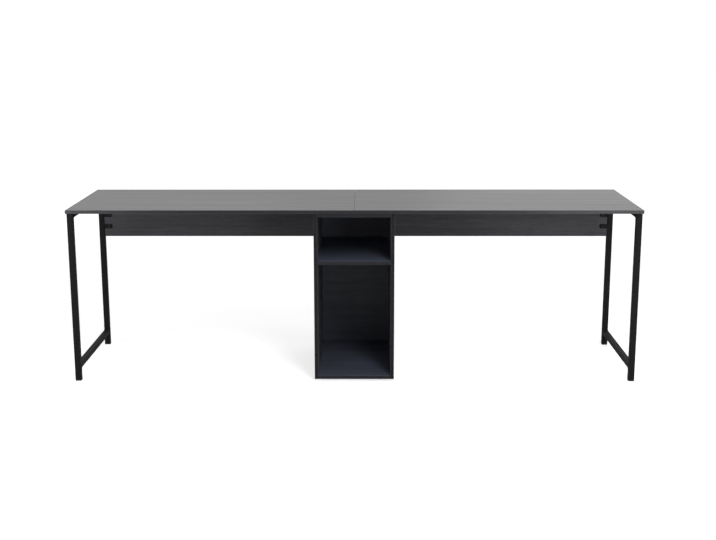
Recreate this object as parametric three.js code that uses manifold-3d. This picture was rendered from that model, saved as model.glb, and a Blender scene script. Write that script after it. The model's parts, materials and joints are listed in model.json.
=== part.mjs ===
// A benching desk for two: two worktop boards that meet over an open pedestal, a welded steel frame under
// each end, and a modesty panel along the rear on each side of the pedestal.
// Millimetres, +X to the right, +Y to the rear, +Z up. The origin is on the floor under the desk's middle.
import * as THREE from "three";
import { mergeVertices } from "three/addons/utils/BufferGeometryUtils.js";
import Module from "manifold-3d";

// Whole desk
const deskWidth = 2400;
const deskDepth = 600;
const deskHeight = 740;

// Boards
const worktopThickness = 15;
const worktopSeam = 0.6;
const panelThickness = 15;
const edgeEase = 0.8;

// Steel end frames: the rails are as wide as the legs
const legWidth = 25;
const tubeWall = 1.2;
const tubeCornerRadius = 1.6;
const legEndInset = 5;
const legEdgeInset = 5;
const railHeight = 20;
const footRailRise = 52;

// Modesty panels, and the tabs on the rear legs that hold them
const modestyHeight = 200;
const modestyTopGap = 1;
const tabLength = 35;
const tabHeight = 20;
const tabThickness = 3;
const tabCornerRadius = 2;
const tabHoleInset = 12;
const lowerTabRise = 47;
const tabSpacing = 54;

// Levelling feet, each in a plastic insert pushed into the end of a leg
const footPadHeight = 3;
const footPadRound = 0.6;
const footStemDiameter = 8;
const footTravel = 12;
const footGrip = 16;
const insertFlange = 4;
const insertDepth = 22;

// Pedestal
const pedestalWidth = 338;
const pedestalFrontInset = 5;
const upperCompartmentHeight = 186;
const backThickness = 4;
const backToScrewHead = 9.5;
const grooveDepth = 5;
const glideDiameter = 22;
const glideHeight = 9;
const glideRound = 2;
const glideNailDiameter = 2.6;
const glideSideInset = 50;
const glideEdgeInset = 45;

// Screws
const machineScrewDiameter = 6;
const machineScrewHead = 12;
const machineScrewHeadHeight = 3.4;
const machineScrewSocket = 4.6;
const woodScrewDiameter = 4.5;
const woodScrewHead = 9;
const woodScrewHeadHeight = 2.6;
const woodScrewSocket = 3.4;
const carcassScrewDiameter = 6.4;
const carcassScrewHead = 10;
const carcassScrewHeadHeight = 4;
const carcassScrewSocket = 4.6;
const carcassScrewLength = 50;
const socketDepth = 1.8;
const headRound = 1.2;
const screwTip = 3;
const screwCover = 4;
const screwEdgeInset = 60;
const worktopScrewInset = 70;
const railScrewInset = 70;

// Gaps: between faces that meet, and around what sits in a hole or a groove
const contactGap = 0.2;
const fitGap = 0.3;

// Facets of the round pieces, and sides of a screw's hexagon socket
const screwFacets = 10;
const footFacets = 20;
const cornerFacets = 2;
const socketSides = 6;

// Corners closer than this are one corner
const mergeDistance = 1e-4;

const charcoalBoard = new THREE.MeshStandardMaterial({ color: 0x3a3a3d, roughness: 0.45, metalness: 0 });
const charcoalHardboard = new THREE.MeshStandardMaterial({ color: 0x2c2d30, roughness: 0.6, metalness: 0 });
const blackSteel = new THREE.MeshStandardMaterial({ color: 0x202124, roughness: 0.5, metalness: 0.2 });
const blackPlastic = new THREE.MeshStandardMaterial({ color: 0x161617, roughness: 0.6, metalness: 0 });
const darkScrewSteel = new THREE.MeshStandardMaterial({ color: 0x2b2c2e, roughness: 0.35, metalness: 0.9 });

// Kinds of screw: a flush one has a countersunk head, and the others a button head
const railScrew = {
  shank: machineScrewDiameter,
  head: machineScrewHead,
  headHeight: machineScrewHeadHeight,
  socket: machineScrewSocket,
  flush: false,
};
const tabScrew = {
  shank: woodScrewDiameter,
  head: woodScrewHead,
  headHeight: woodScrewHeadHeight,
  socket: woodScrewSocket,
  flush: false,
};
const worktopScrew = { ...tabScrew, flush: true };
const carcassScrew = {
  shank: carcassScrewDiameter,
  head: carcassScrewHead,
  headHeight: carcassScrewHeadHeight,
  socket: carcassScrewSocket,
  flush: true,
};

const wasm = await Module();
wasm.setup();
const up = new THREE.Vector3(0, 0, 1);
const toRear = new THREE.Vector3(0, 1, 0);
const hands = [["left", -1], ["right", 1]];
const desk = new THREE.Group();

function solidOf(geometry) {
  const bare = geometry.clone();
  bare.deleteAttribute("normal");
  bare.deleteAttribute("uv");
  const merged = mergeVertices(bare, mergeDistance);
  const vertProperties = new Float32Array(merged.attributes.position.array);
  const triVerts = new Uint32Array(merged.index.array);
  return new wasm.Manifold(new wasm.Mesh({ numProp: 3, vertProperties, triVerts }));
}

function geometryOf(solid) {
  const mesh = solid.getMesh();
  const geometry = new THREE.BufferGeometry();
  geometry.setAttribute("position", new THREE.BufferAttribute(mesh.vertProperties, 3));
  geometry.setIndex(new THREE.BufferAttribute(mesh.triVerts, 1));
  geometry.computeVertexNormals();
  return geometry;
}

// Cuts a hole, given in the desk's frame, out of a piece that is placed without turning it.
function cutFrom(piece, hole) {
  hole.translate(-piece.position.x, -piece.position.y, -piece.position.z);
  piece.geometry = geometryOf(solidOf(piece.geometry).subtract(solidOf(hole)));
}

function place(name, geometry, material, position) {
  const mesh = new THREE.Mesh(geometry, material);
  mesh.name = name;
  mesh.position.set(...position);
  desk.add(mesh);
  return mesh;
}

function rectangle(width, height, radius) {
  const x = width / 2 - radius;
  const y = height / 2 - radius;
  const shape = new THREE.Shape();
  if (radius === 0) {
    return shape.moveTo(-x, -y).lineTo(x, -y).lineTo(x, y).lineTo(-x, y).closePath();
  }
  const quarter = Math.PI / 2;
  shape.absarc(x, -y, radius, -quarter, 0, false);
  shape.absarc(x, y, radius, 0, quarter, false);
  shape.absarc(-x, y, radius, quarter, 2 * quarter, false);
  shape.absarc(-x, -y, radius, 2 * quarter, 3 * quarter, false);
  return shape.closePath();
}

// A bar with the given section along Z, centred on its own origin.
function bar(section, length) {
  const options = { depth: length, bevelEnabled: false, curveSegments: cornerFacets };
  return new THREE.ExtrudeGeometry(section, options).translate(0, 0, -length / 2);
}

// A piece turned about Z, from its outline's [radius, height] points.
function turned(outline, facets) {
  const points = outline.map(([radius, height]) => new THREE.Vector2(radius, height));
  return new THREE.LatheGeometry(points, facets).rotateX(Math.PI / 2);
}

// A board that fills the spans [low, high] along X, Y and Z. The edges of its two broad faces are eased.
function board(name, spans, thicknessAxis) {
  const [sizeX, sizeY, sizeZ] = spans.map(([low, high]) => high - low);
  const faces = { x: [sizeZ, sizeY, sizeX], y: [sizeX, sizeZ, sizeY], z: [sizeX, sizeY, sizeZ] };
  const [width, height, thickness] = faces[thicknessAxis];
  const geometry = new THREE.ExtrudeGeometry(rectangle(width - 2 * edgeEase, height - 2 * edgeEase, 0), {
    depth: thickness - 2 * edgeEase,
    bevelThickness: edgeEase,
    bevelSize: edgeEase,
    bevelSegments: 1,
  });
  geometry.translate(0, 0, edgeEase - thickness / 2);
  if (thicknessAxis === "x") {
    geometry.rotateY(Math.PI / 2);
  }
  if (thicknessAxis === "y") {
    geometry.rotateX(Math.PI / 2);
  }
  return place(name, geometry, charcoalBoard, spans.map(([low, high]) => (low + high) / 2));
}

// Screws point along +Z in their own frame, with the face that they bear on at z = 0.
function screwGeometry({ shank, head, headHeight, socket, flush }, length) {
  const countersunk = [[0, 0], [head / 2, 0], [shank / 2, headHeight]];
  const button = [
    [0, -headHeight],
    [head / 2 - headRound, -headHeight],
    [head / 2, headRound - headHeight],
    [head / 2, 0],
    [shank / 2, 0],
  ];
  const tip = [[shank / 2, length - screwTip], [0, length]];
  const body = turned([...(flush ? countersunk : button), ...tip], screwFacets);
  const key = new THREE.CylinderGeometry(socket / 2, socket / 2, 2 * socketDepth, socketSides);
  key.rotateX(Math.PI / 2).translate(0, 0, flush ? 0 : -headHeight);
  return geometryOf(solidOf(body).subtract(solidOf(key)));
}

// The hole clears the shank all the way, and takes in a flush head.
function holeGeometry({ shank, head, headHeight, flush }, length) {
  const radius = shank / 2 + fitGap;
  const mouthRadius = head / 2 + fitGap;
  const countersink = [[mouthRadius, -fitGap], [mouthRadius, 0], [radius, headHeight]];
  const mouth = flush ? countersink : [[radius, -fitGap]];
  return turned([[0, -fitGap], ...mouth, [radius, length + fitGap], [0, length + fitGap]], screwFacets);
}

// Puts a screw in place and drills its hole through each piece that it passes.
function screw(name, kind, length, position, direction, pieces) {
  const mesh = place(name, screwGeometry(kind, length), darkScrewSteel, position);
  mesh.quaternion.setFromUnitVectors(up, direction);
  mesh.updateMatrix();
  for (const piece of pieces) {
    cutFrom(piece, holeGeometry(kind, length).applyMatrix4(mesh.matrix));
  }
}

// Heights and places that the pieces share
const underside = deskHeight - worktopThickness;
const legX = deskWidth / 2 - legEndInset - legWidth / 2;
const legInnerX = legX - legWidth / 2;
const legY = deskDepth / 2 - legEdgeInset - legWidth / 2;
const legBottom = footPadHeight + insertFlange + 2 * contactGap;
const legTop = underside - contactGap;
const tabFrontY = legY - legWidth / 2;
const modestyFrontY = tabFrontY + tabThickness + contactGap;
const modestyRearY = modestyFrontY + panelThickness;
const modestyScrewY = (modestyFrontY + modestyRearY) / 2;
const modestyTop = underside - modestyTopGap;
const modestyBottom = modestyTop - modestyHeight;
const pedestalSideX = pedestalWidth / 2;
const pedestalInnerX = pedestalSideX - panelThickness;
const pedestalFrontY = pedestalFrontInset - deskDepth / 2;
const pedestalTop = underside - contactGap;
const pedestalTopUnder = pedestalTop - panelThickness;
const pedestalFloor = glideHeight + panelThickness;
const shelfTop = pedestalTopUnder - upperCompartmentHeight;
const backRearY = modestyScrewY - carcassScrewHead / 2 - backToScrewHead;
const backFrontY = backRearY - backThickness;
const worktopBite = worktopThickness - screwCover;
const panelBite = panelThickness - screwCover;

// Pedestal carcass: sides on the outside, with top, shelf and bottom between them
const pedestalDepth = [pedestalFrontY, modestyRearY];
const shelfDepth = [pedestalFrontY, backFrontY - contactGap];
const sideHeight = [glideHeight, pedestalTop];
const betweenSides = [contactGap - pedestalInnerX, pedestalInnerX - contactGap];
const pedestalSides = {
  left: board("pedestal_left_side", [[-pedestalSideX, -pedestalInnerX], pedestalDepth, sideHeight], "x"),
  right: board("pedestal_right_side", [[pedestalInnerX, pedestalSideX], pedestalDepth, sideHeight], "x"),
};
const crossBoards = {
  top: board("pedestal_top", [betweenSides, pedestalDepth, [pedestalTopUnder, pedestalTop]], "z"),
  shelf: board("pedestal_shelf", [betweenSides, shelfDepth, [shelfTop - panelThickness, shelfTop]], "z"),
  bottom: board("pedestal_bottom", [betweenSides, pedestalDepth, [glideHeight, pedestalFloor]], "z"),
};

// The back is a thin board held in a groove all round
const backReach = grooveDepth - fitGap;
const backWidth = 2 * (pedestalInnerX + backReach);
const backHeight = pedestalTopUnder - pedestalFloor + 2 * backReach;
const backMiddle = [0, (backFrontY + backRearY) / 2, (pedestalTopUnder + pedestalFloor) / 2];
const backSize = [backWidth, backThickness, backHeight];
const grooveSize = backSize.map((size) => size + 2 * fitGap);
place("pedestal_back", new THREE.BoxGeometry(...backSize), charcoalHardboard, backMiddle);
for (const piece of [pedestalSides.left, pedestalSides.right, crossBoards.top, crossBoards.bottom]) {
  cutFrom(piece, new THREE.BoxGeometry(...grooveSize).translate(...backMiddle));
}

// Glides under the pedestal's bottom, each with a nail driven up into it
const glideRadius = glideDiameter / 2;
const nailRadius = glideNailDiameter / 2;
const nailTop = glideHeight + panelBite;
const glideOutline = [
  [0, 0],
  [glideRadius - glideRound, 0],
  [glideRadius, glideRound],
  [glideRadius, glideHeight - contactGap],
  [nailRadius, glideHeight - contactGap],
  [nailRadius, nailTop],
  [0, nailTop],
];
const nailHoleOutline = [
  [0, 0],
  [nailRadius + fitGap, 0],
  [nailRadius + fitGap, nailTop + fitGap],
  [0, nailTop + fitGap],
];
const glidePlaces = [
  ["front", pedestalFrontY + glideEdgeInset],
  ["rear", backFrontY - glideEdgeInset],
];
for (const [end, y] of glidePlaces) {
  for (const [hand, side] of hands) {
    const spot = [side * (pedestalInnerX - glideSideInset), y, 0];
    place(`pedestal_${end}_${hand}_glide`, turned(glideOutline, footFacets), blackPlastic, spot);
    cutFrom(crossBoards.bottom, turned(nailHoleOutline, screwFacets).translate(...spot));
  }
}

// A leg is a square tube with a cap welded on its upper end.
const boreWidth = legWidth - 2 * tubeWall;
const boreCornerRadius = Math.max(tubeCornerRadius - tubeWall, 0);

function legGeometry() {
  const tube = bar(rectangle(legWidth, legWidth, tubeCornerRadius), legTop - legBottom);
  const inside = bar(rectangle(boreWidth, boreWidth, boreCornerRadius), legTop - legBottom);
  return geometryOf(solidOf(tube).subtract(solidOf(inside.translate(0, 0, -tubeWall))));
}

// A rail is an open tube along Y that fits between the legs.
const railLength = 2 * (tabFrontY - contactGap);

function railGeometry() {
  const section = rectangle(legWidth, railHeight, tubeCornerRadius);
  section.holes.push(rectangle(boreWidth, railHeight - 2 * tubeWall, boreCornerRadius));
  return bar(section, railLength).rotateX(Math.PI / 2);
}

// An insert has a flange against the tube's end, a plug that fills the tube and a bore for the foot's stem.
const stemRadius = footStemDiameter / 2;
const insertHeight = insertFlange + insertDepth;
const plugWidth = boreWidth - 2 * fitGap;
const insertBoreOutline = [
  [0, -fitGap],
  [stemRadius + fitGap, -fitGap],
  [stemRadius + fitGap, insertHeight + fitGap],
  [0, insertHeight + fitGap],
];

function insertGeometry() {
  const flange = bar(rectangle(legWidth, legWidth, tubeCornerRadius), insertFlange);
  const plug = bar(rectangle(plugWidth, plugWidth, boreCornerRadius), insertHeight);
  flange.translate(0, 0, insertFlange / 2);
  plug.translate(0, 0, insertHeight / 2);
  const bore = turned(insertBoreOutline, footFacets);
  return geometryOf(solidOf(flange).add(solidOf(plug)).subtract(solidOf(bore)));
}

// A foot is a square pad, as wide as the leg, moulded on a threaded stem. It is shown screwed all the way in.
const stemTop = footPadHeight + footTravel + footGrip;
const stemOutline = [
  [0, footPadRound],
  [stemRadius, footPadRound],
  [stemRadius, stemTop],
  [0, stemTop],
];

function footGeometry() {
  const faceWidth = legWidth - 2 * footPadRound;
  const pad = new THREE.ExtrudeGeometry(rectangle(faceWidth, faceWidth, tubeCornerRadius), {
    depth: footPadHeight - 2 * footPadRound,
    bevelThickness: footPadRound,
    bevelSize: footPadRound,
    bevelSegments: 1,
    curveSegments: cornerFacets,
  });
  pad.translate(0, 0, footPadRound);
  return geometryOf(solidOf(pad).add(solidOf(turned(stemOutline, footFacets))));
}

const legPlaces = [
  ["front", -legY],
  ["rear", legY],
];
const railScrewPlaces = [
  ["front", railScrewInset - railLength / 2],
  ["rear", railLength / 2 - railScrewInset],
];
const pedestalScrewPlaces = [
  ["front", pedestalFrontY + screwEdgeInset],
  ["rear", backFrontY - screwEdgeInset],
];
const tabRises = [
  ["upper", lowerTabRise + tabSpacing],
  ["lower", lowerTabRise],
];
const railScrewReach = railHeight + contactGap + worktopBite;
const worktopScrewReach = panelThickness + contactGap + worktopBite;
const tabScrewReach = tabThickness + contactGap + panelBite;

for (const [hand, side] of hands) {
  const outward = new THREE.Vector3(side, 0, 0);
  const inward = new THREE.Vector3(-side, 0, 0);
  const spanX = (inner, outer) => (side < 0 ? [-outer, -inner] : [inner, outer]);
  const pedestalSide = pedestalSides[hand];

  const worktopSpans = [
    spanX(worktopSeam / 2, deskWidth / 2),
    [-deskDepth / 2, deskDepth / 2],
    [underside, deskHeight],
  ];
  const worktop = board(`${hand}_worktop`, worktopSpans, "z");
  const modestySpans = [
    spanX(pedestalSideX + contactGap, legInnerX - contactGap),
    [modestyFrontY, modestyRearY],
    [modestyBottom, modestyTop],
  ];
  const modesty = board(`${hand}_modesty_panel`, modestySpans, "y");

  // End frame, with a foot under each leg
  for (const [end, y] of legPlaces) {
    const insertBottom = footPadHeight + contactGap;
    place(`${hand}_${end}_leg`, legGeometry(), blackSteel, [side * legX, y, (legBottom + legTop) / 2]);
    place(`${hand}_${end}_foot_insert`, insertGeometry(), blackPlastic, [side * legX, y, insertBottom]);
    place(`${hand}_${end}_foot`, footGeometry(), blackPlastic, [side * legX, y, 0]);
  }
  const topRailMiddle = [side * legX, 0, legTop - railHeight / 2];
  const footRailMiddle = [side * legX, 0, footRailRise + railHeight / 2];
  const topRail = place(`${hand}_top_rail`, railGeometry(), blackSteel, topRailMiddle);
  place(`${hand}_foot_rail`, railGeometry(), blackSteel, footRailMiddle);
  for (const [end, y] of railScrewPlaces) {
    const seat = [side * legX, y, legTop - railHeight];
    screw(`${hand}_${end}_rail_screw`, railScrew, railScrewReach, seat, up, [topRail, worktop]);
  }

  // Tabs that hold the modesty panel's outer end
  const tabX = side * (legInnerX - contactGap - tabLength / 2);
  const tabHoleX = tabX - side * (tabLength / 2 - tabHoleInset);
  for (const [level, rise] of tabRises) {
    const tabZ = modestyBottom + rise;
    const tabGeometry = bar(rectangle(tabLength, tabHeight, tabCornerRadius), tabThickness);
    const tabMiddle = [tabX, tabFrontY + tabThickness / 2, tabZ];
    const tab = place(`${hand}_${level}_tab`, tabGeometry.rotateX(Math.PI / 2), blackSteel, tabMiddle);
    const seat = [tabHoleX, tabFrontY, tabZ];
    screw(`${hand}_${level}_tab_screw`, tabScrew, tabScrewReach, seat, toRear, [tab, modesty]);
  }

  // Screws up into the worktop, and through the pedestal's side into its cross boards and the modesty panel
  for (const [end, y] of pedestalScrewPlaces) {
    const seat = [side * (pedestalInnerX - worktopScrewInset), y, pedestalTopUnder];
    const passed = [crossBoards.top, worktop];
    screw(`${hand}_${end}_worktop_screw`, worktopScrew, worktopScrewReach, seat, up, passed);
    for (const [level, crossBoard] of Object.entries(crossBoards)) {
      const name = `pedestal_${level}_${end}_${hand}_screw`;
      const entry = [side * pedestalSideX, y, crossBoard.position.z];
      screw(name, carcassScrew, carcassScrewLength, entry, inward, [pedestalSide, crossBoard]);
    }
  }
  const endSeat = [side * pedestalInnerX, modestyScrewY, (modestyBottom + modestyTop) / 2];
  screw(`${hand}_modesty_screw`, carcassScrew, carcassScrewLength, endSeat, outward, [pedestalSide, modesty]);
}

export default desk;
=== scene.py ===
import json
import math

import bpy
import numpy as np
from mathutils import Matrix, Vector

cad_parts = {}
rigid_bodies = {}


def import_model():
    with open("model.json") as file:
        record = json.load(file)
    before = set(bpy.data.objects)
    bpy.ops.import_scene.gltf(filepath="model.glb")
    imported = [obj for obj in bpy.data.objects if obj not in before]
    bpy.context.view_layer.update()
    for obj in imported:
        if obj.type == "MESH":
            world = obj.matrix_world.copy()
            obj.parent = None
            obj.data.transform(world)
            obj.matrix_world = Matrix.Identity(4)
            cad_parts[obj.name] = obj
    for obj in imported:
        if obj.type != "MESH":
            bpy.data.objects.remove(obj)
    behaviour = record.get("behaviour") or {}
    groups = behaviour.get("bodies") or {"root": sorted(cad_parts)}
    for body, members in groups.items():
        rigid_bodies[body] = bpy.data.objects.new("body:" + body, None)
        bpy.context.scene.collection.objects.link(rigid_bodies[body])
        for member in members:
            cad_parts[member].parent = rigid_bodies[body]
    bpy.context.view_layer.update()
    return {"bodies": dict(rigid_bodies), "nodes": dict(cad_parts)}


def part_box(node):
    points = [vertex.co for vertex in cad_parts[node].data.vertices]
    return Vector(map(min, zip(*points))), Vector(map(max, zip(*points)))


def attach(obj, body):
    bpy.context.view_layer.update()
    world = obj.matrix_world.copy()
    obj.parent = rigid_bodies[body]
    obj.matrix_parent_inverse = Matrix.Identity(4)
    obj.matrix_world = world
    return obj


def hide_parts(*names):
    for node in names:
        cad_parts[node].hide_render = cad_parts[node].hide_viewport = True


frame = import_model()

# Camera: it stands five metres in front of the desk, a little right of its middle and well above the worktop,
# and looks down on it. Its place and turn were fitted to the desk's corners in the photograph.
photo_width = 716
focal_pixels = 1150.0
sensor_width = 36.0
camera_place = Vector((0.0549, -5.0004, 1.5135))
pitch_down = 0.2149
turn_left = 0.0082
roll = -0.0014

camera = bpy.data.objects.new("camera", bpy.data.cameras.new("camera"))
camera.data.sensor_width = sensor_width
camera.data.lens = focal_pixels / photo_width * sensor_width
ahead = Vector((-math.sin(turn_left) * math.cos(pitch_down), math.cos(turn_left) * math.cos(pitch_down),
                -math.sin(pitch_down)))
level_right = Vector((math.cos(turn_left), math.sin(turn_left), 0))
level_up = level_right.cross(ahead)
camera_right = math.cos(roll) * level_right + math.sin(roll) * level_up
camera_up = math.cos(roll) * level_up - math.sin(roll) * level_right
camera_turn = Matrix((camera_right, camera_up, -ahead)).transposed()
camera.matrix_world = Matrix.Translation(camera_place) @ camera_turn.to_4x4()
bpy.context.scene.collection.objects.link(camera)
bpy.context.scene.camera = camera


# Worktops: two boards of chipboard faced with charcoal melamine, printed with a faint wood grain along their
# length, with a darker and smoother band glued round their edges. They meet in a tight seam in the middle.
def new_node(tree, kind, inputs=(), **settings):
    """A node of that kind, with its settings, whose inputs are set to values or linked to sockets."""
    made = tree.nodes.new(kind)
    for name, value in settings.items():
        setattr(made, name, value)
    for key, value in dict(inputs).items():
        if isinstance(value, bpy.types.NodeSocket):
            tree.links.new(value, made.inputs[key])
        else:
            made.inputs[key].default_value = value
    return made


def new_group(name, inputs, outputs):
    """An empty shader node group with named inputs and outputs, and its two end nodes."""
    group = bpy.data.node_groups.new(name, "ShaderNodeTree")
    for socket, kind in inputs.items():
        group.interface.new_socket(socket, in_out="INPUT", socket_type=kind)
    for socket, kind in outputs.items():
        group.interface.new_socket(socket, in_out="OUTPUT", socket_type=kind)
    return group, new_node(group, "NodeGroupInput"), new_node(group, "NodeGroupOutput")


def stretched_noise(tree, vector, stretch, detail):
    """Noise on coordinates in metres, stretched so that one feature is 1/stretch metres long on each axis."""
    scaled = new_node(tree, "ShaderNodeVectorMath", {0: vector, 1: stretch}, operation="MULTIPLY")
    return new_node(tree, "ShaderNodeTexNoise", {"Vector": scaled.outputs[0], "Scale": 1.0, "Detail": detail})


# The print has wide soft bands, narrow streaks and short pores, all drawn out along the X of its vector.
band_stretch = (0.9, 24, 24)
streak_stretch = (2.5, 150, 150)
pore_stretch = (18, 1100, 1100)
streak_share = 0.6
grain_low = 0.36
grain_high = 0.64
pore_low = 0.62
pore_high = 0.70

grain_sockets = {"Streaks": "NodeSocketFloat", "Pores": "NodeSocketFloat"}
wood_print, print_in, print_out = new_group("wood_print", {"Vector": "NodeSocketVector"}, grain_sockets)
bands = stretched_noise(wood_print, print_in.outputs["Vector"], band_stretch, detail=2.0)
streaks = stretched_noise(wood_print, print_in.outputs["Vector"], streak_stretch, detail=3.0)
pores = stretched_noise(wood_print, print_in.outputs["Vector"], pore_stretch, detail=1.0)
both = new_node(wood_print, "ShaderNodeMix",
                {"Factor": streak_share, 2: bands.outputs["Fac"], 3: streaks.outputs["Fac"]})
spread = new_node(wood_print, "ShaderNodeMapRange",
                  {"Value": both.outputs[0], "From Min": grain_low, "From Max": grain_high})
pored = new_node(wood_print, "ShaderNodeMapRange",
                 {"Value": pores.outputs["Fac"], "From Min": pore_low, "From Max": pore_high})
wood_print.links.new(spread.outputs[0], print_out.inputs["Streaks"])
wood_print.links.new(pored.outputs[0], print_out.inputs["Pores"])


def new_material(name):
    """A material with nodes, and its Principled BSDF."""
    material = bpy.data.materials.new(name)
    material.use_nodes = True
    return material, material.node_tree, material.node_tree.nodes["Principled BSDF"]


charcoal_dark = (0.0500, 0.0490, 0.0544, 1.0)
charcoal_light = (0.0685, 0.0672, 0.0746, 1.0)
worktop_band = (0.0048, 0.0045, 0.0080, 1.0)
worktop_gloss = 0.52
pore_shade = 0.6
pore_strength = 0.2
pore_depth = 0.0001
rough_dark = 0.44
rough_light = 0.38
rough_band = 0.22
band_tilt = 0.5
along_x = (0.0, 0.0, 0.0)


def board_material(name, dark, light, band, grain_turn, grain_shift, thickness, gloss):
    """Printed board: its grain runs along X turned by grain_turn, and the faces that turn off its thickness
    axis are banding."""
    material, tree, surface = new_material(name)
    place = new_node(tree, "ShaderNodeTexCoord")
    turned = new_node(tree, "ShaderNodeMapping",
                      {"Vector": place.outputs["Object"], "Location": grain_shift, "Rotation": grain_turn})
    grain = new_node(tree, "ShaderNodeGroup", node_tree=wood_print)
    tree.links.new(turned.outputs[0], grain.inputs["Vector"])
    printed = new_node(tree, "ShaderNodeMix",
                       {0: grain.outputs["Streaks"], 6: dark, 7: light}, data_type="RGBA")
    pore_colour = [pore_shade * part for part in dark[:3]] + [1.0]
    inked = new_node(tree, "ShaderNodeMix",
                     {0: grain.outputs["Pores"], 6: printed.outputs[2], 7: pore_colour}, data_type="RGBA")
    shape = new_node(tree, "ShaderNodeNewGeometry")
    facing = new_node(tree, "ShaderNodeSeparateXYZ", {0: shape.outputs["Normal"]})
    across = new_node(tree, "ShaderNodeMath", {0: facing.outputs[thickness]}, operation="ABSOLUTE")
    banded = new_node(tree, "ShaderNodeMath", {0: across.outputs[0], 1: band_tilt}, operation="LESS_THAN")
    colour = new_node(tree, "ShaderNodeMix",
                      {0: banded.outputs[0], 6: inked.outputs[2], 7: band}, data_type="RGBA")
    rough = new_node(tree, "ShaderNodeMapRange",
                     {"Value": grain.outputs["Streaks"], "To Min": rough_dark, "To Max": rough_light})
    smoother = new_node(tree, "ShaderNodeMix", {0: banded.outputs[0], 2: rough.outputs[0], 3: rough_band})
    emboss = new_node(tree, "ShaderNodeBump",
                      {"Height": grain.outputs["Pores"], "Strength": pore_strength, "Distance": pore_depth},
                      invert=True)
    surface.inputs["Specular IOR Level"].default_value = gloss
    tree.links.new(colour.outputs[2], surface.inputs["Base Color"])
    tree.links.new(smoother.outputs[0], surface.inputs["Roughness"])
    tree.links.new(emboss.outputs[0], surface.inputs["Normal"])
    return material


arris_radius = 0.0004
arris_segments = 2
arris_angle = math.radians(30)
flat_angle = math.radians(1)
weld_distance = 1e-5


def dress_board(node, material):
    """Gives a CAD board its material, and rounds its arrises a little."""
    board = frame["nodes"][node]
    board.data.materials.clear()
    board.data.materials.append(material)
    board.modifiers.new("weld", "WELD").merge_threshold = weld_distance
    flat = board.modifiers.new("flat_faces", "DECIMATE")
    flat.decimate_type = "DISSOLVE"
    flat.angle_limit = flat_angle
    round_off = board.modifiers.new("arris", "BEVEL")
    round_off.width = arris_radius
    round_off.segments = arris_segments
    round_off.limit_method = "ANGLE"
    round_off.angle_limit = arris_angle


for hand, shift in (("left", (0.0, 0.0, 0.0)), ("right", (3.1, 1.7, 0.0))):
    melamine = board_material(f"{hand}_worktop_melamine", charcoal_dark, charcoal_light, worktop_band,
                              along_x, shift, "Z", worktop_gloss)
    dress_board(f"{hand}_worktop", melamine)


# Modesty panels: the same board on edge along the rear, with its grain along the desk. Each is screwed to two
# tabs on the rear leg at one end and through the side of the pedestal at the other.
panel_band = (0.0205, 0.0198, 0.0240, 1.0)
panel_gloss = 0.07

for hand, shift in (("left", (0.7, 5.2, 2.0)), ("right", (4.4, 2.9, 7.0))):
    melamine = board_material(f"{hand}_modesty_melamine", charcoal_dark, charcoal_light, panel_band,
                              along_x, shift, "Y", panel_gloss)
    dress_board(f"{hand}_modesty_panel", melamine)


# Pedestal: an open cabinet of the same board. The sides have their grain upright, and the top, shelf and
# bottom, screwed between them, have it across, in a lighter, bluer copy of the board's colours: painted light
# from above and painted cool shade inside the cabinet.
# Painted shade: the uprights' edge band is a darker copy of the band on the level boards, because upright
# edges get less light from above.
upright_band_painted_shade = (0.0140, 0.0136, 0.0161, 1.0)
pedestal_gloss = 0.11
# Painted light and painted cool shade: the level boards are drawn lighter and bluer than the same board on
# the sides.
painted_cool_level_dark = (0.0570, 0.0640, 0.0895, 1.0)
painted_cool_level_light = (0.0782, 0.0877, 0.1228, 1.0)
upright = (0.0, math.radians(90), 0.0)

for side, shift in (("left", (1.3, 8.0, 0.4)), ("right", (6.1, 0.6, 3.3))):
    melamine = board_material(f"pedestal_{side}_side_melamine", charcoal_dark, charcoal_light, upright_band_painted_shade,
                              upright, shift, "X", pedestal_gloss)
    dress_board(f"pedestal_{side}_side", melamine)
for level, shift in (("top", (2.0, 3.0, 0.0)), ("shelf", (9.0, 1.0, 0.0)), ("bottom", (5.0, 4.0, 0.0))):
    melamine = board_material(f"pedestal_{level}_melamine", painted_cool_level_dark, painted_cool_level_light, panel_band,
                              along_x, shift, "Z", pedestal_gloss)
    dress_board(f"pedestal_{level}", melamine)


# Pedestal back: thin hardboard with a darker print on its foil, tinted blue as painted cool shade inside the
# cabinet, slid into a groove in the boards round it. Its edges are hidden in the groove, so they have no
# band.
# Painted shade: the foil's blue tint stands for the cool shade at the back of the cabinet.
foil_dark_blue_shade = (0.0228, 0.0264, 0.0392, 1.0)
foil_light_blue_shade = (0.0327, 0.0379, 0.0562, 1.0)
foil_gloss = 0.34
foil = board_material("pedestal_back_foil", foil_dark_blue_shade, foil_light_blue_shade, foil_dark_blue_shade, along_x, (7.0, 0.0, 5.0), "Y",
                      foil_gloss)
dress_board("pedestal_back", foil)


# Legs and rails: square steel tube with rounded corners, welded into a closed frame at each end and powder
# coated black. A cap closes the top of each leg, and the foot's insert goes into its open lower end.
# Coated and moulded surfaces share a fine pebbled texture, with its grains about 1/Scale metres across.
pebble_inputs = {"Vector": "NodeSocketVector", "Scale": "NodeSocketFloat"}
pebble, pebble_in, pebble_out = new_group("pebble", pebble_inputs, {"Height": "NodeSocketFloat"})
grains = new_node(pebble, "ShaderNodeTexNoise",
                  {"Vector": pebble_in.outputs["Vector"], "Scale": pebble_in.outputs["Scale"], "Detail": 2.0})
pebble.links.new(grains.outputs["Fac"], pebble_out.inputs["Height"])

cloud_stretch = (9, 9, 9)
cloud_paler = 1.35
pebble_strength = 0.5


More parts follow.
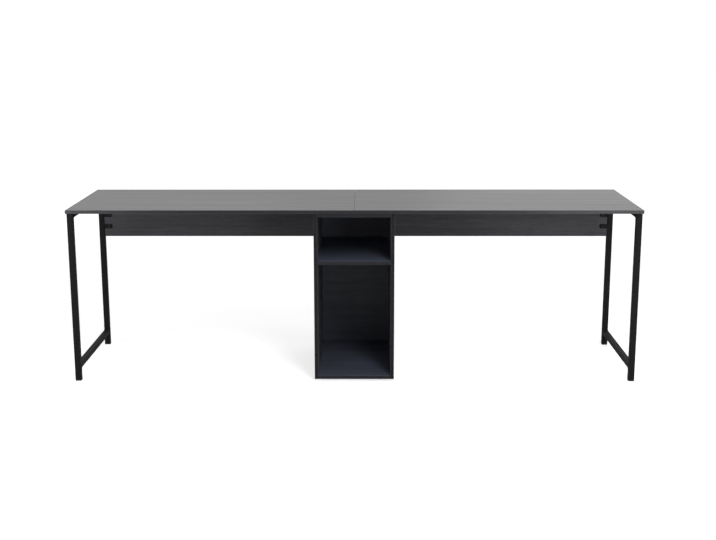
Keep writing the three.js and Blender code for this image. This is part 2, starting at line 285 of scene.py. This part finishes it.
def pebbled_material(name, colour, rough_low, rough_high, grain_scale, depth, gloss):
    """A coated or moulded surface: one colour, slightly uneven, with pebbles of that depth in metres."""
    material, tree, surface = new_material(name)
    place = new_node(tree, "ShaderNodeTexCoord")
    texture = new_node(tree, "ShaderNodeGroup", node_tree=pebble)
    texture.inputs["Scale"].default_value = grain_scale
    tree.links.new(place.outputs["Object"], texture.inputs["Vector"])
    cloud = stretched_noise(tree, place.outputs["Object"], cloud_stretch, detail=3.0)
    paler = [cloud_paler * part for part in colour[:3]] + [1.0]
    tint = new_node(tree, "ShaderNodeMix", {0: cloud.outputs["Fac"], 6: colour, 7: paler}, data_type="RGBA")
    rough = new_node(tree, "ShaderNodeMapRange",
                     {"Value": texture.outputs["Height"], "To Min": rough_low, "To Max": rough_high})
    bump = new_node(tree, "ShaderNodeBump",
                    {"Height": texture.outputs["Height"], "Strength": pebble_strength, "Distance": depth})
    surface.inputs["Specular IOR Level"].default_value = gloss
    tree.links.new(tint.outputs[2], surface.inputs["Base Color"])
    tree.links.new(rough.outputs[0], surface.inputs["Roughness"])
    tree.links.new(bump.outputs[0], surface.inputs["Normal"])
    return material


coat_black = (0.0082, 0.0082, 0.0089, 1.0)
powder_coat = pebbled_material("black_powder_coat", coat_black, rough_low=0.54, rough_high=0.70,
                               grain_scale=900.0, depth=0.00006, gloss=0.06)

corner_steps = 6
crease_angle = math.radians(32)


def rounded_outline(width, height, radius):
    """A rectangle's outline, anticlockwise, with each corner an arc about a centre one radius in from it."""
    quarter = np.linspace(0, np.pi / 2, corner_steps + 1)
    angles = (quarter + np.arange(4)[:, None] * np.pi / 2).ravel()
    corner_x = np.repeat([1, -1, -1, 1], corner_steps + 1) * (width / 2 - radius)
    corner_y = np.repeat([1, 1, -1, -1], corner_steps + 1) * (height / 2 - radius)
    return np.stack([corner_x + radius * np.cos(angles), corner_y + radius * np.sin(angles)], axis=1)


def ring_stack(outlines, heights):
    """Rings of points: the outlines, each lifted to its height along the third axis."""
    lifted = np.repeat(np.asarray(heights, float)[:, None, None], len(outlines[0]), axis=1)
    return np.concatenate([np.asarray(outlines), lifted], axis=2)


def turn_to(rings, axis, origin):
    """Turns rings that rise along the third axis to rise along +X, +Y, +Z or their opposites, and moves them
    to the origin."""
    if axis[0] == "-":
        rings = rings * (1, -1, -1)
    shift = {"X": 1, "Y": 2, "Z": 0}[axis[1]]
    return np.roll(rings, shift, axis=2) + np.asarray(origin, float)


def skin(rings, closed=False):
    """Corners and faces of the surface through a stack of rings: a quad between each two points of two rings
    that follow each other, and a lid on the first and the last ring or, if closed, quads between the two."""
    count, points = rings.shape[:2]
    corner = np.arange(count * points).reshape(count, points)
    lower = corner if closed else corner[:-1]
    upper = np.roll(corner, -1, axis=0) if closed else corner[1:]
    quads = np.stack([lower, np.roll(lower, -1, axis=1), np.roll(upper, -1, axis=1), upper], axis=2)
    faces = quads.reshape(-1, 4).tolist()
    if not closed:
        faces += [corner[0, ::-1].tolist(), corner[-1].tolist()]
    return rings.reshape(-1, 3), faces


def new_piece(name, skins, material, body, replaced=()):
    """One mesh of the skins, smooth but for its creases, that rides on a body and stands for CAD nodes."""
    corners, faces, start = [], [], 0
    for skin_corners, skin_faces in skins:
        corners.append(skin_corners)
        faces += [[start + index for index in face] for face in skin_faces]
        start += len(skin_corners)
    mesh = bpy.data.meshes.new(name)
    mesh.from_pydata(np.concatenate(corners).tolist(), [], faces)
    mesh.polygons.foreach_set("use_smooth", np.ones(len(mesh.polygons), bool))
    mesh.set_sharp_from_angle(angle=crease_angle)
    mesh.materials.append(material)
    piece = bpy.data.objects.new(name, mesh)
    bpy.context.scene.collection.objects.link(piece)
    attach(piece, body)
    if replaced:
        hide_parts(*replaced)
    return piece


tube_wall = 0.0012
tube_radius = 0.0016
least_radius = 0.0001
end_round = 0.0004
hands = ("left", "right")
ends = ("front", "rear")


def inset_outline(width, height, radius, inset):
    """The rounded outline drawn in by the same distance all round."""
    return rounded_outline(width - 2 * inset, height - 2 * inset, max(radius - inset, least_radius))


for hand in hands:
    for end in ends:
        node = f"{hand}_{end}_leg"
        low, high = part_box(node)
        middle = (low + high) / 2
        insets = [tube_wall, tube_wall, end_round, 0, 0, end_round]
        heights = [high.z - tube_wall, low.z, low.z, low.z + end_round, high.z - end_round, high.z]
        outlines = [inset_outline(high.x - low.x, high.y - low.y, tube_radius, inset) for inset in insets]
        leg = turn_to(ring_stack(outlines, heights), "+Z", (middle.x, middle.y, 0))
        new_piece(f"{hand}_{end}_leg_tube", [skin(leg)], powder_coat, "desk", [node])
    for level in ("top", "foot"):
        node = f"{hand}_{level}_rail"
        low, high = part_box(node)
        middle = (low + high) / 2
        insets = [0, 0, tube_wall, tube_wall]
        outlines = [inset_outline(high.z - low.z, high.x - low.x, tube_radius, inset) for inset in insets]
        rail = turn_to(ring_stack(outlines, [low.y, high.y, high.y, low.y]), "+Y", (middle.x, 0, middle.z))
        new_piece(f"{hand}_{level}_rail_tube", [skin(rail, closed=True)], powder_coat, "desk",
                  [node])


# Tabs: steel plates welded by one end to the rear legs, two to a leg, with a hole near the other end for the
# screw that holds the modesty panel.
tab_radius = 0.002
tab_arris = 0.0004
tab_hole_radius = 0.00255
tab_hole_inset = 0.012
levels = ("upper", "lower")


def circle_outline(radius):
    """A circle with as many points as a rounded outline, evenly spread, the same number to each corner."""
    points = 4 * (corner_steps + 1)
    angles = (np.arange(points) + 0.5) * 2 * np.pi / points
    return radius * np.stack([np.cos(angles), np.sin(angles)], axis=1)


for hand in hands:
    inward = 1 if hand == "left" else -1
    for level in levels:
        node = f"{hand}_{level}_tab"
        low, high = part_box(node)
        middle = (low + high) / 2
        free_end = high.x if hand == "left" else low.x
        hole_x = free_end - inward * tab_hole_inset - middle.x
        hole = circle_outline(tab_hole_radius) + (0, hole_x)
        insets = [tab_arris, 0, 0, tab_arris]
        outlines = [inset_outline(high.z - low.z, high.x - low.x, tab_radius, inset) for inset in insets]
        depths = [low.y, low.y + tab_arris, high.y - tab_arris, high.y, high.y, low.y]
        tab = turn_to(ring_stack([*outlines, hole, hole], depths), "+Y", (middle.x, 0, middle.z))
        new_piece(f"{hand}_{level}_tab_plate", [skin(tab, closed=True)], powder_coat, "desk",
                  [node])


# Welds: a bead runs round each end of a rail, and round the end of each tab, where it meets a leg. Its
# ripples are the puddles of the weld, and the coating covers them with the rest.
bead_points = 12
bead_steps = 220
bead_pitch = 0.0021
bead_ripple = 0.09
rail_bead = 0.0015
tab_bead = 0.0010


def bead_rings(width, height, radius, bead):
    """A bead along a rounded outline. At each step s along it the section is a circle of radius
    bead * (1 + ripple * cos(2 pi s / pitch)), square to the outline, about the outline's own point."""
    outline = rounded_outline(width, height, radius)
    closed = np.vstack([outline, outline[:1]])
    run = np.concatenate([[0], np.cumsum(np.linalg.norm(np.diff(closed, axis=0), axis=1))])
    steps = np.linspace(0, run[-1], bead_steps, endpoint=False)
    points = np.stack([np.interp(steps, run, closed[:, axis]) for axis in (0, 1)], axis=1)
    along = np.roll(points, -1, axis=0) - np.roll(points, 1, axis=0)
    along /= np.linalg.norm(along, axis=1)[:, None]
    outward = np.stack([along[:, 1], -along[:, 0]], axis=1)
    ripples = round(run[-1] / bead_pitch)
    section_radius = bead * (1 + bead_ripple * np.cos(2 * np.pi * ripples * steps / run[-1]))
    angles = np.arange(bead_points) * 2 * np.pi / bead_points
    spread = section_radius[:, None] * np.cos(angles)
    flat = points[:, None, :] + spread[:, :, None] * outward[:, None, :]
    rise = -section_radius[:, None] * np.sin(angles)
    return np.concatenate([flat, rise[:, :, None]], axis=2)


for hand in hands:
    beads = []
    for level in ("top", "foot"):
        low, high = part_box(f"{hand}_{level}_rail")
        middle = (low + high) / 2
        for end_y in (low.y, high.y):
            bead = bead_rings(high.z - low.z, high.x - low.x, tube_radius, rail_bead)
            bead = turn_to(bead, "+Y", (middle.x, end_y, middle.z))
            if level == "top":
                bead[:, :, 2] = np.minimum(bead[:, :, 2], high.z)
            beads.append(skin(bead, closed=True))
    for level in levels:
        low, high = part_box(f"{hand}_{level}_tab")
        middle = (low + high) / 2
        leg_end = low.x if hand == "left" else high.x
        bead = bead_rings(high.y - low.y, high.z - low.z, tab_arris, tab_bead)
        bead = turn_to(bead, "+X", (leg_end, middle.y, middle.z))
        bead[:, :, 1] = np.minimum(bead[:, :, 1], high.y)
        beads.append(skin(bead, closed=True))
    new_piece(f"{hand}_frame_welds", beads, powder_coat, "desk")


# Foot inserts: black plastic plugs pushed into the lower ends of the legs until the flange meets the tube,
# with a threaded bore for the foot.
plastic_black = (0.008, 0.008, 0.0085, 1.0)
moulded_plastic = pebbled_material("black_moulded_plastic", plastic_black, rough_low=0.48, rough_high=0.62,
                                   grain_scale=1600.0, depth=0.00003, gloss=0.3)
insert_flange = 0.004
insert_arris = 0.0005
plug_clearance = 0.0003
foot_stem_radius = 0.004

for hand in hands:
    for end in ends:
        node = f"{hand}_{end}_foot_insert"
        low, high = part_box(node)
        middle = (low + high) / 2
        width = high.x - low.x
        bore = circle_outline(foot_stem_radius + plug_clearance)
        flange = [inset_outline(width, width, tube_radius, inset) for inset in (insert_arris, 0, 0)]
        plug = [inset_outline(width, width, tube_radius, tube_wall + plug_clearance + taper)
                for taper in (0, 0, insert_arris)]
        flange_top = low.z + insert_flange
        heights = [high.z, low.z, low.z, low.z + insert_arris, flange_top,
                   flange_top, high.z - insert_arris, high.z]
        insert = turn_to(ring_stack([bore, bore, *flange, *plug], heights), "+Z", (middle.x, middle.y, 0))
        new_piece(f"{hand}_{end}_foot_plug", [skin(insert, closed=True)], moulded_plastic, "desk",
                  [node])


# Levelling feet: a square plastic pad, as wide as the leg, moulded on a threaded stem that screws into the
# insert. Each quarter turn brings the pad in line with the leg again.
pad_height = 0.003
pad_round = 0.0006
pad_steps = 4
stem_root = 0.0005
round_points = 96
stem_pitch = 0.00125
stem_thread_depth = 0.0007
thread_steps = 10


def slab_rings(width, corner_radius, height, arris, steps):
    """A square slab with rounded corners and arrises: where an arris leans by an angle of 0 to 90 degrees,
    the outline is drawn in by arris * (1 - sin(angle)), at arris * (1 - cos(angle)) from the slab's face."""
    lean = np.linspace(0, np.pi / 2, steps + 1)
    inset = arris * (1 - np.sin(lean))
    rise = arris * (1 - np.cos(lean))
    insets = np.concatenate([inset, inset[::-1]])
    heights = np.concatenate([rise, height - rise[::-1]])
    return ring_stack([inset_outline(width, width, corner_radius, step) for step in insets], heights)


def lathe_rings(profile, angles):
    """A turned piece: a circle for each (radius, height) of the profile."""
    radius, height = np.asarray(profile, float).T
    rise = np.repeat(height[:, None], len(angles), axis=1)
    return np.stack([radius[:, None] * np.cos(angles), radius[:, None] * np.sin(angles), rise], axis=2)


def arc_profile(radius, height, round_radius, start, stop, steps=5):
    """(radius, height) points of a quarter arc about the given centre, between two angles in degrees."""
    angles = np.radians(np.linspace(start, stop, steps))
    return np.stack([radius + round_radius * np.cos(angles), height + round_radius * np.sin(angles)], axis=1)


def thread_rings(radius, depth, pitch, bottom, top, angles):
    """A screw thread: the radius less depth times a triangle wave of height / pitch - angle / one turn, which
    fades to the bare core within one pitch of either end."""
    heights = np.linspace(bottom, top, max(2, round((top - bottom) / pitch * thread_steps)))
    wave = np.abs(2 * np.mod(heights[:, None] / pitch - angles / (2 * np.pi), 1) - 1)
    fade = np.clip(np.minimum(heights - bottom, top - heights) / pitch, 0, 1)[:, None]
    rings = radius - depth + depth * (1 - wave) * fade
    rise = np.repeat(heights[:, None], len(angles), axis=1)
    return np.stack([rings * np.cos(angles), rings * np.sin(angles), rise], axis=2)


for hand in hands:
    for end in ends:
        node = f"{hand}_{end}_foot"
        low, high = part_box(node)
        middle = (low + high) / 2
        angles = np.arange(round_points) * 2 * np.pi / round_points
        pad = slab_rings(high.x - low.x, tube_radius, pad_height, pad_round, pad_steps)
        pad = turn_to(pad, "+Z", (middle.x, middle.y, 0))
        stem = thread_rings(foot_stem_radius, stem_thread_depth, stem_pitch, pad_height - stem_root, high.z,
                            angles)
        stem = turn_to(stem, "+Z", (middle.x, middle.y, 0))
        new_piece(f"{hand}_{end}_levelling_foot", [skin(pad), skin(stem)], moulded_plastic,
                  f"{hand}_{end}_foot", [node])


# Glides: plastic buttons on nails that are driven up into the pedestal's bottom, so that it stands clear of
# the floor.
glide_height = 0.0088
glide_round = 0.002
nail_radius = 0.0013
nail_point_radius = nail_radius / 4

for end in ends:
    for hand in hands:
        node = f"pedestal_{end}_{hand}_glide"
        low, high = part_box(node)
        middle = (low + high) / 2
        angles = np.arange(round_points) * 2 * np.pi / round_points
        glide_radius = (high.x - low.x) / 2
        under = arc_profile(glide_radius - glide_round, glide_round, glide_round, -90, 0)
        over = [(glide_radius, glide_height), (nail_radius, glide_height),
                (nail_radius, high.z - nail_radius), (nail_point_radius, high.z)]
        glide = turn_to(lathe_rings(np.vstack([under, over]), angles), "+Z", (middle.x, middle.y, 0))
        new_piece(f"pedestal_{end}_{hand}_glide_button", [skin(glide)], moulded_plastic, "desk",
                  [node])


# Screws: blackened steel with hexagon sockets. Button heads hold the tabs and rails, and flush heads the
# pedestal's boards, the worktops on it and the inner ends of the modesty panels.
oxide_dark = (0.012, 0.012, 0.013, 1.0)
oxide_light = (0.027, 0.026, 0.026, 1.0)
oxide_metallic = 0.9
oxide_rough_low = 0.28
oxide_rough_high = 0.46
blotch_stretch = (700, 700, 700)

screw_black, tree, surface = new_material("blackened_screw_steel")
surface.inputs["Metallic"].default_value = oxide_metallic
place = new_node(tree, "ShaderNodeTexCoord")
blotches = stretched_noise(tree, place.outputs["Object"], blotch_stretch, detail=4.0)
oxide = new_node(tree, "ShaderNodeMix",
                 {0: blotches.outputs["Fac"], 6: oxide_dark, 7: oxide_light}, data_type="RGBA")
rub = new_node(tree, "ShaderNodeMapRange",
               {"Value": blotches.outputs["Fac"], "To Min": oxide_rough_low, "To Max": oxide_rough_high})
tree.links.new(oxide.outputs[2], surface.inputs["Base Color"])
tree.links.new(rub.outputs[0], surface.inputs["Roughness"])

screw_points = 36
socket_depth = 0.0018
socket_chamfer = 0.0002
head_round = 0.0012
rim_arris = 0.0002
tip_length = 0.003
core_share = 0.78
tip_share = 1 / 8
button_rail = {"shank": 0.006, "head": 0.012, "height": 0.0034, "socket": 0.0046, "pitch": 0.001}
button_tab = {"shank": 0.0045, "head": 0.009, "height": 0.0026, "socket": 0.0034, "pitch": 0.002}
flush_worktop = {"shank": 0.0045, "head": 0.009, "height": 0.0026, "socket": 0.0034, "pitch": 0.002}
flush_carcass = {"shank": 0.0064, "head": 0.010, "height": 0.004, "socket": 0.0046, "pitch": 0.003}


def screw_rings(size, flush, length):
    """A screw along its third axis that bears on height 0: a hexagon socket, whose radius is that of its
    corners * cos(30) / cos(angle from the middle of its side), the head's profile, the thread and the tip."""
    angles = np.arange(screw_points) * 2 * np.pi / screw_points
    face = 0 if flush else -size["height"]
    from_side = np.mod(angles, np.pi / 3) - np.pi / 6
    hexagon = size["socket"] / 2 * np.cos(np.pi / 6) / np.cos(from_side)
    key_outline = np.stack([hexagon * np.cos(angles), hexagon * np.sin(angles)], axis=1)
    mouth = 1 + socket_chamfer / hexagon.max()
    socket = ring_stack([key_outline, key_outline, key_outline * mouth],
                        [face + socket_depth, face + socket_chamfer, face])
    core = size["shank"] / 2 * core_share
    rim = size["head"] / 2
    if flush:
        profile = [(rim - rim_arris, 0), (rim, rim_arris)]
    else:
        dome = arc_profile(rim - head_round, face + head_round, head_round, -90, 0)
        profile = np.vstack([dome, [(rim, -rim_arris), (rim - rim_arris, 0)]])
    head = lathe_rings(profile, angles)
    thread_start = size["height"] if flush else 0
    thread = thread_rings(size["shank"] / 2, size["shank"] / 2 - core, size["pitch"], thread_start,
                          length - tip_length, angles)
    tip = lathe_rings([(core * tip_share, length)], angles)
    return np.concatenate([socket, head, thread, tip])


def put_screw(node, size, flush, axis):
    """Puts a screw where its CAD node is, pointing along the axis, and takes its length from the node."""
    low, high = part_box(node)
    middle = (low + high) / 2
    index = "XYZ".index(axis[1])
    head_above = 0 if flush else size["height"]
    length = high[index] - low[index] - head_above
    seat = middle.copy()
    seat[index] = low[index] + head_above if axis[0] == "+" else high[index] - head_above
    rings = turn_to(screw_rings(size, flush, length), axis, seat)
    new_piece(f"{node}_steel", [skin(rings)], screw_black, "desk", [node])


for hand, inward, outward in (("left", "+X", "-X"), ("right", "-X", "+X")):
    for end in ends:
        put_screw(f"{hand}_{end}_rail_screw", button_rail, flush=False, axis="+Z")
        put_screw(f"{hand}_{end}_worktop_screw", flush_worktop, flush=True, axis="+Z")
        for level in ("top", "shelf", "bottom"):
            put_screw(f"pedestal_{level}_{end}_{hand}_screw", flush_carcass, flush=True, axis=inward)
    for level in levels:
        put_screw(f"{hand}_{level}_tab_screw", button_tab, flush=False, axis="+Y")
    put_screw(f"{hand}_modesty_screw", flush_carcass, flush=True, axis=outward)


# Stage: a white floor, with the desk's shadow on it, in a room that is white behind the desk and dim in
# front. The floor stays under the lowest foot, so it goes down where a foot is screwed out.
white = (1.0, 1.0, 1.0, 1.0)
floor_size = 60.0
floor_colour = (0.8, 0.8, 0.8, 1.0)
floor_glow_near = 0.66
floor_glow_far = 1.0
floor_near_radius = 1.8
floor_far_radius = 6.0
floor_glow_mirrored = 0.15
room_behind = 0.5
room_in_front = 0.1
room_dim_until = -0.1
room_white_from = 0.5

floor_mesh = bpy.data.meshes.new("floor")
floor_corners = floor_size / 2 * np.array([[-1, -1, 0], [1, -1, 0], [1, 1, 0], [-1, 1, 0]])
floor_mesh.from_pydata(floor_corners.tolist(), [], [[0, 1, 2, 3]])
floor = bpy.data.objects.new("floor", floor_mesh)
bpy.context.scene.collection.objects.link(floor)
for hand in hands:
    for end in ends:
        under_foot = floor.constraints.new("FLOOR")
        under_foot.target = frame["bodies"][f"{hand}_{end}_foot"]
        under_foot.floor_location = "FLOOR_NEGATIVE_Z"
floor_white, tree, surface = new_material("floor_white")
surface.inputs["Base Color"].default_value = floor_colour
surface.inputs["Roughness"].default_value = 1.0
surface.inputs["Specular IOR Level"].default_value = 0.0
surface.inputs["Emission Color"].default_value = white
place = new_node(tree, "ShaderNodeTexCoord")
from_desk = new_node(tree, "ShaderNodeVectorMath", {0: place.outputs["Object"]}, operation="LENGTH")
spread_glow = new_node(tree, "ShaderNodeMapRange",
                       {"Value": from_desk.outputs["Value"], "From Min": floor_near_radius,
                        "From Max": floor_far_radius, "To Min": floor_glow_near, "To Max": floor_glow_far},
                       interpolation_type="SMOOTHSTEP")
rays = new_node(tree, "ShaderNodeLightPath")
bounced = new_node(tree, "ShaderNodeMath",
                   {0: rays.outputs["Is Glossy Ray"], 1: rays.outputs["Is Transmission Ray"]},
                   operation="MAXIMUM")
mirrored = new_node(tree, "ShaderNodeMath", {0: bounced.outputs[0], 1: floor_glow_mirrored},
                    operation="MULTIPLY")
direct = new_node(tree, "ShaderNodeMath", {0: rays.outputs["Is Camera Ray"], 1: spread_glow.outputs[0]},
                  operation="MULTIPLY")
glow = new_node(tree, "ShaderNodeMath", {0: mirrored.outputs[0], 1: direct.outputs[0]}, operation="MAXIMUM")
tree.links.new(glow.outputs[0], surface.inputs["Emission Strength"])
floor.data.materials.append(floor_white)

world = bpy.data.worlds.new("studio")
bpy.context.scene.world = world
world.use_nodes = True
tree = world.node_tree
background = tree.nodes["Background"]
background.inputs["Color"].default_value = white
rays = new_node(tree, "ShaderNodeLightPath")
bounced = new_node(tree, "ShaderNodeMath",
                   {0: rays.outputs["Is Glossy Ray"], 1: rays.outputs["Is Transmission Ray"]},
                   operation="MAXIMUM")
seen = new_node(tree, "ShaderNodeMath", {0: rays.outputs["Is Camera Ray"], 1: bounced.outputs[0]},
                operation="MAXIMUM")
place = new_node(tree, "ShaderNodeTexCoord")
toward = new_node(tree, "ShaderNodeSeparateXYZ", {0: place.outputs["Generated"]})
lit = new_node(tree, "ShaderNodeMapRange",
               {"Value": toward.outputs["Y"], "From Min": room_dim_until, "From Max": room_white_from,
                "To Min": room_in_front, "To Max": room_behind}, interpolation_type="SMOOTHSTEP")
strength = new_node(tree, "ShaderNodeMix", {0: seen.outputs[0], 2: lit.outputs[0], 3: 1.0})
tree.links.new(strength.outputs[0], background.inputs["Strength"])

bpy.context.scene.view_settings.view_transform = "Standard"


# Lamps: soft boxes round the desk. The tall key stands in front and to the right, with a smaller one over it
# and a weak one under it. Low ones stand beside the camera and at the desk's ends, and two behind the desk
# show in its gloss.
lamp_target = Vector((0.0, 0.0, 0.4))


def softbox(name, round_right, rise, distance, width, height, power):
    """A rectangular lamp that faces the desk from an angle to the right of its front and an angle above it,
    both in degrees, at a distance in metres and with a power in watts."""
    turn, tilt = math.radians(round_right), math.radians(rise)
    toward_lamp = Vector((math.sin(turn) * math.cos(tilt), -math.cos(turn) * math.cos(tilt), math.sin(tilt)))
    lamp = bpy.data.lights.new(name, "AREA")
    lamp.shape = "RECTANGLE"
    lamp.size = width
    lamp.size_y = height
    lamp.energy = power
    holder = bpy.data.objects.new(name, lamp)
    holder.location = lamp_target + distance * toward_lamp
    holder.rotation_mode = "QUATERNION"
    holder.rotation_quaternion = (-toward_lamp).to_track_quat("-Z", "Y")
    bpy.context.scene.collection.objects.link(holder)


# Each lamp has its degrees to the right and up, its metres away, wide and high, and its watts.
softbox("key", 19, 41, 4.5, 1.0, 2.2, 71.0)
softbox("key_above", 19, 68, 4.0, 1.2, 1.2, 14.0)
softbox("front", 8, 22, 4.5, 1.0, 0.6, 5.0)
softbox("right_low", 25, 6, 4.5, 0.8, 1.0, 31.0)
softbox("left_low", -33, 8, 4.5, 1.2, 1.6, 31.0)
softbox("right_side", 70, 9, 2.6, 0.8, 0.8, 14.0)
softbox("left_side", -70, 9, 2.6, 0.8, 0.8, 11.0)
softbox("right_rear", 155, 20, 5.0, 3.0, 1.5, 7.0)
softbox("left_rear", -155, 20, 5.0, 3.0, 1.5, 2.0)
